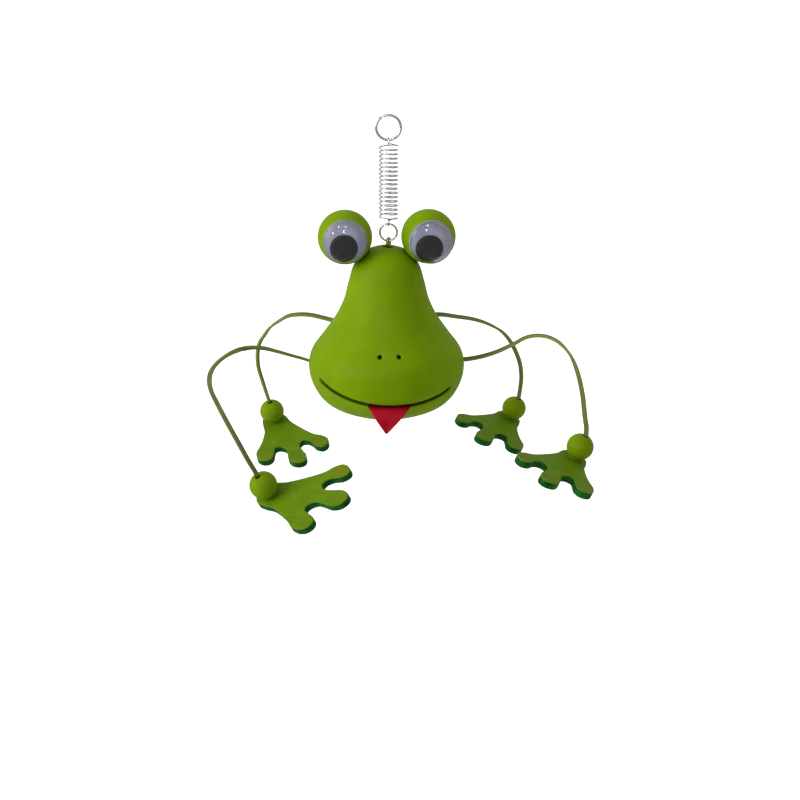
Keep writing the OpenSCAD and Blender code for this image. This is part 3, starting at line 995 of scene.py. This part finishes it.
def at_eye(side):
    """The frame of one stick-on eye: its back at the origin, +Z the way it looks, +Y up."""
    down, across = EYE_LOOK[side]
    sign = -1 if side == "left" else 1
    return (
        Matrix.Translation(Vector(BODY_CENTRE + BALL_AT * [sign, 1, 1]))
        @ Matrix.Rotation(math.radians(across), 4, "Z")
        @ Matrix.Rotation(math.radians(down), 4, "X")
        @ Matrix.Translation((0, -EYE_FLAT, 0))
        @ Matrix.Rotation(math.pi / 2, 4, "X")
    )


def eye_pieces(side, materials):
    """One wooden eye ball and its stick-on moving eye."""
    frame_of_eye = at_eye(side)
    rim = math.degrees(math.asin(EYE_FLAT / (BALL_D / 2)))
    ball = np.vstack([
        [[0, -BALL_D / 2 - EYE_FLAT]],
        arc((0, -EYE_FLAT), BALL_D / 2, -89, rim - 2.5, 70),
        [[EYE_D / 2 + 0.16, -0.2], [EYE_D / 2 + 0.02, -0.07], [EYE_D / 2 - 0.2, 0], [EYE_D / 4, 0]],
        [[0, 0]],
    ])
    edge = 0.2
    back = np.vstack([
        [[0, 0]],
        [[EYE_D / 2 - edge, 0]],
        arc((EYE_D / 2 - edge, edge), edge, -60, 0, 4),
        arc((EYE_D / 2 - edge, BACK_T - edge), edge, 0, 90, 5),
        [[EYE_D / 4, BACK_T], [0, BACK_T]],
    ])
    for part, outline, slot in (
        ("ball", ball, "body_paint"),
        ("back", back, "eye_white"),
        ("dome", dome_outline(BACK_T), "eye_clear"),
    ):
        points, faces = turned(outline, 96, loop=part == "dome")
        unmarked = np.zeros(len(points))
        add_piece(
            f"{side}_eye_{part}", moved(points, frame_of_eye), faces, materials[part], "frog",
            [f"eye_{part}_{side}"], {"hollow": unmarked, "chips": unmarked},
        )
    pupil_piece(side, materials["pupil"])


def dome_outline(base):
    """A thin blown dome with a short upright side: its outer side, then its inner side."""
    rim_r = EYE_D / 2
    side_r = rim_r - 0.1
    wall = 0.35
    shoulder = base + 1.5
    rise = 3.05
    ball_r = (side_r**2 + rise**2) / (2 * rise)
    centre = (0, shoulder + rise - ball_r)
    spread = math.degrees(math.asin(side_r / ball_r))
    outer = np.vstack([
        [[rim_r, base + 0.02], [rim_r, base + 0.3], [side_r + 0.02, base + 0.38]],
        [[side_r, base + 0.6], [side_r, shoulder - 0.3], [side_r - 0.06, shoulder - 0.05]],
        arc(centre, ball_r, 92 - spread, 90, 40),
    ])
    inner_r = ball_r - wall
    inner_spread = math.degrees(math.asin((side_r - wall) / inner_r))
    inner = np.vstack([
        arc(centre, inner_r, 90, 91 - inner_spread, 40),
        [[side_r - wall, shoulder - 0.3], [side_r - wall, base + 0.02]],
    ])
    inner[0, 0] = 0
    outer[-1, 0] = 0
    return np.vstack([outer, inner])


def pupil_piece(side, material):
    """The loose black disc, slightly domed, that rolls round inside the eye."""
    edge = 0.3
    r = PUPIL_D / 2
    outline = np.vstack([
        [[0, 0]],
        [[r - edge, 0]],
        arc((r - edge, edge), edge, -60, 60, 7),
        [[r - 2, PUPIL_T - 0.06], [r / 3, PUPIL_T - 0.01], [0, PUPIL_T]],
    ])
    points, faces = turned(outline, 72)
    place = (
        at_eye(side)
        @ Matrix.Rotation(-PUPIL_TURN[side], 4, "Z")
        @ Matrix.Translation((0, -PUPIL_ORBIT, BACK_T + PUPIL_LIFT))
    )
    add_piece(
        f"{side}_pupil", moved(points, place), faces, material, f"{side}_pupil",
        [f"pupil_{side}"],
    )


# ---- Legs and feet ----


def lace_piece(name, leg, material):
    """A flat lace from its hole in the body to the hole in its bead."""
    fine = 8
    tucked = 2.5
    tucked_steps = 5
    route = smooth_line(leg["route"], fine) + BODY_CENTRE
    start = route[0] + unit(route[0] - route[1]) * tucked
    line = np.vstack([np.linspace(start, route[0], tucked_steps + 1)[:-1], route])
    ways = leg["width_ways"]
    marks = [tucked_steps + i * fine for i in ways]
    spots = np.arange(len(line))
    side = np.stack([np.interp(spots, marks, [w[i] for w in ways.values()]) for i in range(3)], 1)
    along = headings(line)
    side = unit(side - (side * along).sum(1, keepdims=True) * along)
    section = rounded_strip(LACE_W, LACE_T, 0.22, 7)
    points, faces = sweep(line, side, section)
    run = np.concatenate([[0], np.cumsum(np.linalg.norm(np.diff(line, axis=0), axis=1))])
    n, k = len(line), len(section)
    place = np.stack(
        [np.repeat(run, k), np.tile(section[:, 0], n), np.tile(section[:, 1], n)], 1
    )
    cut_edge = np.tile(np.clip((np.abs(section[:, 0]) - LACE_W / 2 + 0.3) / 0.2, 0, 1), n)
    lace = add_piece(
        f"{name}_lace_strip", points, faces, material, None, [f"{name}_lace"],
        {"lace_place": place * MM, "cut_edge": cut_edge},
    )
    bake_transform(lace)


def at_foot(stance):
    """The frame of one foot: its top face at the heel is the origin, +X runs to the middle toe."""
    bead, lean, lean_way, toe_way = stance
    return (
        Matrix.Translation(Vector(bead) + Vector(BODY_CENTRE))
        @ Matrix.Rotation(math.radians(lean_way), 4, "Z")
        @ Matrix.Rotation(math.radians(lean), 4, "Y")
        @ Matrix.Rotation(math.radians(toe_way - lean_way), 4, "Z")
        @ Matrix.Translation((0, 0, -BEAD_SEAT))
    )


def bead_piece(name, leg, material):
    """A turned bead with a soft-edged lace hole, glued down on its foot."""
    r = BEAD_D / 2
    hole = LACE_HOLE_D / 2
    lip = 0.35
    lip_angle = math.degrees(math.acos((hole + lip) / (r - lip)))
    glue_r = 3.1
    glue_angle = math.degrees(math.asin(glue_r / r))
    lip_height = BEAD_SEAT + math.sqrt((r - lip) ** 2 - (hole + lip) ** 2)
    outline = np.vstack([
        [[0, 0.02], [glue_r + 0.45, 0.02]],
        [[glue_r + 0.2, 0.1], [glue_r + 0.05, 0.26]],
        arc((0, BEAD_SEAT), r, glue_angle - 90 + 2, lip_angle - 1, 44),
        arc((hole + lip, lip_height), lip, lip_angle, 180, 7),
        [[hole, BEAD_SEAT + 4.2], [hole, BEAD_SEAT + 3], [0, BEAD_SEAT + 2.9]],
    ])
    points, faces = turned(outline, 64)
    height = points[:, 2] - BEAD_SEAT
    away = np.hypot(points[:, 0], points[:, 1])
    # Painted shade: dark inside the lace hole, and a painted contact shade along the bottom of the bead
    # where it sits on the foot.
    hollow = ((away <= hole + 0.05) & (height > 2)) * 1.0
    painted_contact_shade = np.clip((0.5 - points[:, 2]) / 0.5, 0, 1) * 0.5
    frame_of_foot = at_foot(leg["stance"])
    add_piece(
        f"{name}_bead_ball", moved(points, frame_of_foot), faces, material, f"{name}_paw",
        [f"{name}_bead"],
        {"hollow": np.maximum(hollow, painted_contact_shade), "chips": np.zeros(len(points))},
    )


def foot_piece(name, leg, material):
    """A sawn plywood foot with softened edges."""
    # The outline is listed clockwise. The faces below need it the other way round.
    outline = smooth_line(FOOT_OUTLINE[::-1], 8, closed=True)
    way = headings(outline, closed=True)
    outward = np.stack([way[:, 1], -way[:, 0]], 1)
    top_edge = 0.4
    low_edge = 0.25
    turn = np.radians(np.linspace(90, 0, 6))
    rows = [[top_edge * (1 - np.cos(a)), -top_edge * (1 - np.sin(a))] for a in turn]
    rows = [[top_edge + 0.5, 0]] + rows
    rows += [[0.02, -1.0], [0.0, -1.8], [0.02, -2.6]]
    rows += [[low_edge * (1 - np.cos(a)), -FOOT_T + low_edge * (1 - np.sin(a))] for a in turn[::-1]]
    rows = np.array(rows)
    n, k = len(rows), len(outline)
    rings = np.concatenate(
        [outline[None] - rows[:, None, :1] * outward[None], np.repeat(rows[:, None, 1:], k, 1)], 2
    ).reshape(-1, 3)
    faces = tube_faces(n, k, capped=False)
    inner, inner_faces = filled(rings[:k, :2], 1.5)
    top_start = len(rings)
    points = np.vstack([rings, np.column_stack([inner, np.zeros(len(inner))])])
    faces += [tuple(top_start + i - k if i >= k else i for i in f) for f in inner_faces]
    low_ring = (n - 1) * k
    low_inner, low_faces = filled(rings[low_ring:low_ring + k, :2], 3.0)
    low_start = len(points)
    points = np.vstack([points, np.column_stack([low_inner, np.full(len(low_inner), -FOOT_T)])])
    faces += [
        tuple(low_start + i - k if i >= k else low_ring + i for i in reversed(f)) for f in low_faces
    ]
    side = np.clip(-points[:, 2] / 0.7, 0, 1)
    side[low_start:] = 0
    tips = np.array(TOE_TIPS)
    away = np.linalg.norm(points[:, None, :2] - tips[None], axis=2).min(1)
    rubbed_reach = 4.5
    toe_tip = np.clip(1 - away / rubbed_reach, 0, 1)
    place = points * MM
    points = points * [1, leg["hand"], 1]
    if leg["hand"] < 0:
        faces = [tuple(reversed(f)) for f in faces]
    add_piece(
        f"{name}_foot_board", moved(points, at_foot(leg["stance"])), faces, material,
        f"{name}_paw", [f"{name}_foot"],
        {"side": side, "toe_tip": toe_tip, "foot_place": place},
    )


def filled(ring, spacing):
    """Inner points and triangles that fill a flat ring; ring points come first in the numbering."""
    low, high = ring.min(0), ring.max(0)
    grid = np.stack(
        np.meshgrid(np.arange(low[0], high[0], spacing), np.arange(low[1], high[1], spacing)), -1
    ).reshape(-1, 2)
    away = np.linalg.norm(grid[:, None] - ring[None], axis=2).min(1)
    grid = grid[(away > spacing * 0.6) & inside_ring(grid, ring)]
    k = len(ring)
    verts = [Vector(p) for p in np.vstack([ring, grid])]
    edges = [(i, (i + 1) % k) for i in range(k)]
    result = delaunay_2d_cdt(verts, edges, [], 1, 1e-6)
    origin = [source[0] for source in result[3]]
    return grid, [tuple(origin[i] for i in f) for f in result[2]]


def inside_ring(points, ring):
    """Which points lie inside a closed ring."""
    after = np.roll(ring, -1, 0)
    x, y = points[:, :1], points[:, 1:]
    crosses = (ring[:, 1] > y) != (after[:, 1] > y)
    rise = np.where(after[:, 1] == ring[:, 1], 1e-9, after[:, 1] - ring[:, 1])
    at = ring[:, 0] + (y - ring[:, 1]) / rise * (after[:, 0] - ring[:, 0])
    return (crosses & (x < at)).sum(1) % 2 == 1


# ---- Putting it together ----

make_camera()
make_world()
make_floor()
make_light("key", (-1.25, -0.5, 0.35), 0.9, 11.2)
make_light("fill", (1.2, -0.5, 0.1), 0.8, 0.7, (1, 0.9, 0.75))
# Small lamps, far off, that show as bright spots on the eye domes. They add no light to matt surfaces.
for number, place in enumerate((
    (-0.42, -1.02, 0.68), (-0.02, -1.06, 0.72), (-0.8, -1.01, 0.24), (-0.11, -1.22, 0.43),
)):
    make_light(f"spot_{number}", place, 0.12, 1.3).visible_diffuse = False
bpy.context.scene.view_settings.view_transform = "Standard"

LEAF_LIGHT = (0.275, 0.455, 0.001)
LEAF_DARK = (0.235, 0.395, 0.0)
body_green = leaf_paint("body_paint", LEAF_LIGHT, LEAF_DARK, (260, 260, 22))
ball_green = leaf_paint("ball_paint", LEAF_LIGHT, LEAF_DARK, (40, 40, 700), (0.5, 0.35, 0))
bead_green = leaf_paint(
    "bead_paint", (0.25, 0.405, 0.002), (0.21, 0.35, 0.001), (60, 60, 500), (0.2, 0.3, 0)
)
leather = lace_leather()
for name, leg in LEGS.items():
    lace_piece(name, leg, leather)
    bead_piece(name, leg, bead_green)
plywood = foot_paint()
for name, leg in LEGS.items():
    foot_piece(name, leg, plywood)
body_piece(body_green)
tongue_piece(tongue_leather())
eye_materials = {
    "ball": ball_green, "back": eye_white(), "dome": clear_dome(), "pupil": pupil_black(),
}
wood = bare_wood()
for side in ("left", "right"):
    eye_pieces(side, eye_materials)
    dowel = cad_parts[f"eye_dowel_{side}"]
    dowel.data.materials.clear()
    dowel.data.materials.append(wood)
nickel = wire_metal("ring_steel", (0.52, 0.52, 0.51), (0.8, 0.8, 0.78), 0.22)
ring_piece("hanging_ring_wire", "hanger", "hanging_ring", nickel)
ring_piece("lower_ring_wire", "link", "lower_ring", nickel)
spring_piece(wire_metal("spring_steel", (0.5, 0.5, 0.49), (0.78, 0.78, 0.76), 0.28))
screw_eye_piece(wire_metal("brass", (0.55, 0.36, 0.1), (0.8, 0.58, 0.22), 0.25))
